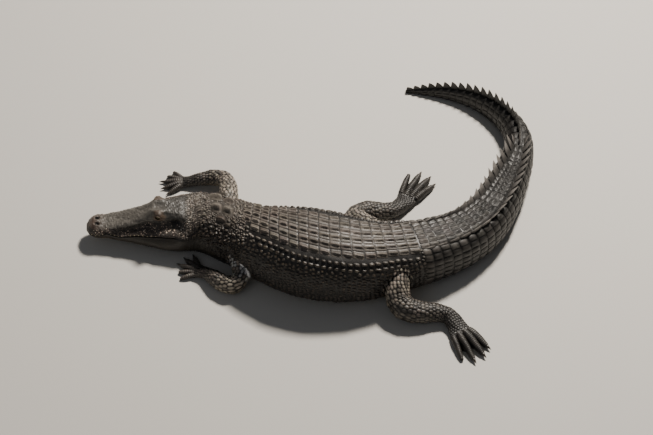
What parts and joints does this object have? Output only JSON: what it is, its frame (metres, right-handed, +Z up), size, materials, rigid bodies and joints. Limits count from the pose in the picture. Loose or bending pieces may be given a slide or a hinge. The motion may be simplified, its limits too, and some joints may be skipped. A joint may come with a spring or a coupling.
{
  "type": "nile crocodile",
  "caption": "Life-size adult crocodile resting flat on its belly, mouth shut, legs spread, tail swung round to one side.",
  "frame": {"origin": "on the ground under the middle of the belly, on the flat of the belly", "axes": "+X from the snout towards the hips, +Z up; the animal's left side faces -Y"},
  "size_m": [1.951, 1.5521, 0.3019],
  "materials": {
    "hide": "dry horny scales, matt grey-brown",
    "claw": "dark horn, low sheen",
    "eye": "wet and glossy"
  },
  "bodies": {
    "root": {"head": "hide", "lower_jaw": "hide", "eye_left": "eye", "eye_right": "eye", "neck": "hide", "chest": "hide", "belly": "hide", "hips": "hide", "tail_1": "hide", "tail_2": "hide", "tail_3": "hide", "tail_4": "hide", "tail_5": "hide", "tail_6": "hide", "upper_arm_fore_left": "hide", "forearm_fore_left": "hide", "hand_fore_left": "hide", "claw_fore_left_1": "claw", "claw_fore_left_2": "claw", "claw_fore_left_3": "claw", "upper_arm_fore_right": "hide", "forearm_fore_right": "hide", "hand_fore_right": "hide", "claw_fore_right_1": "claw", "claw_fore_right_2": "claw", "claw_fore_right_3": "claw", "thigh_hind_left": "hide", "shank_hind_left": "hide", "foot_hind_left": "hide", "claw_hind_left_1": "claw", "claw_hind_left_2": "claw", "claw_hind_left_3": "claw", "thigh_hind_right": "hide", "shank_hind_right": "hide", "foot_hind_right": "hide", "claw_hind_right_1": "claw", "claw_hind_right_2": "claw", "claw_hind_right_3": "claw"}
  },
  "joints": []
}
